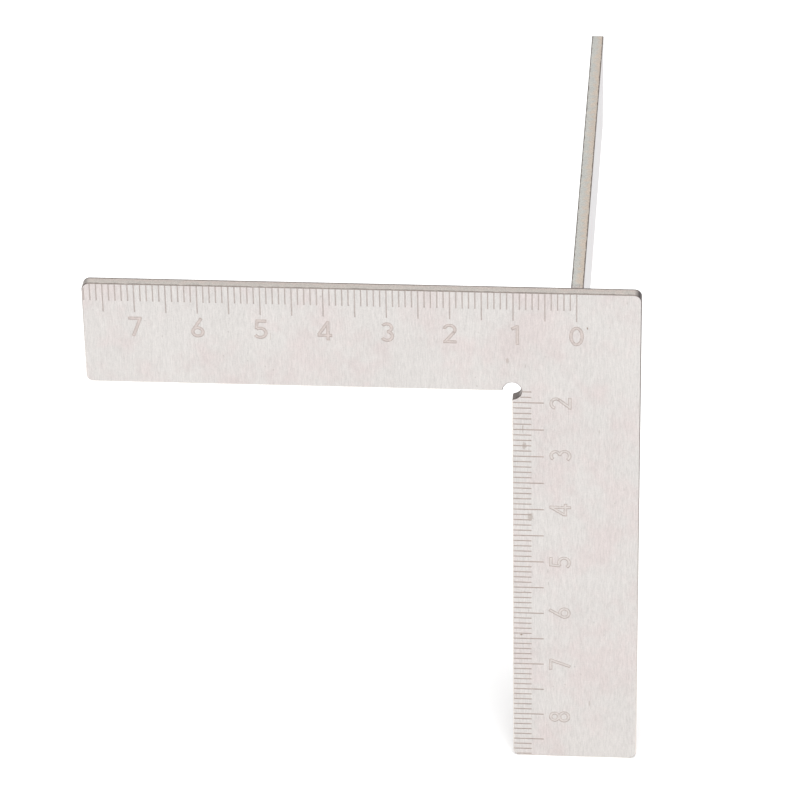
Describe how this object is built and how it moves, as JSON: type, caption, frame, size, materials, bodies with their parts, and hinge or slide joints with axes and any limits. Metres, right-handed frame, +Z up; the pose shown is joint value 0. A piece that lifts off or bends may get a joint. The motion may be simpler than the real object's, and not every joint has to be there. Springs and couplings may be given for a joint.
{
  "type": "steel square ruler",
  "caption": "Three-way square ruler for leatherwork: an L-shaped graduated steel plate with a matching plain L plate welded square to its back.",
  "frame": {"origin": "middle of the overall box, on the floor that the lower ends of the two plates stand on", "axes": "+X towards the zero end of the front scale, +Y away from the graduated face along the cross plate's top arm, +Z up, from the plates' lower ends to their flush top edges"},
  "size_m": [0.0886, 0.093, 0.0884],
  "materials": {
    "front_plate": "fine vertical brushing with engraved, darkened graduations",
    "cross_plate": "fine brushing, laser-cut edges",
    "weld": "fine rippled weld with a straw heat tint"
  },
  "bodies": {
    "root": {"front_plate": "front_plate", "cross_plate": "cross_plate", "left_weld_seam": "weld", "right_weld_seam": "weld"}
  },
  "joints": []
}
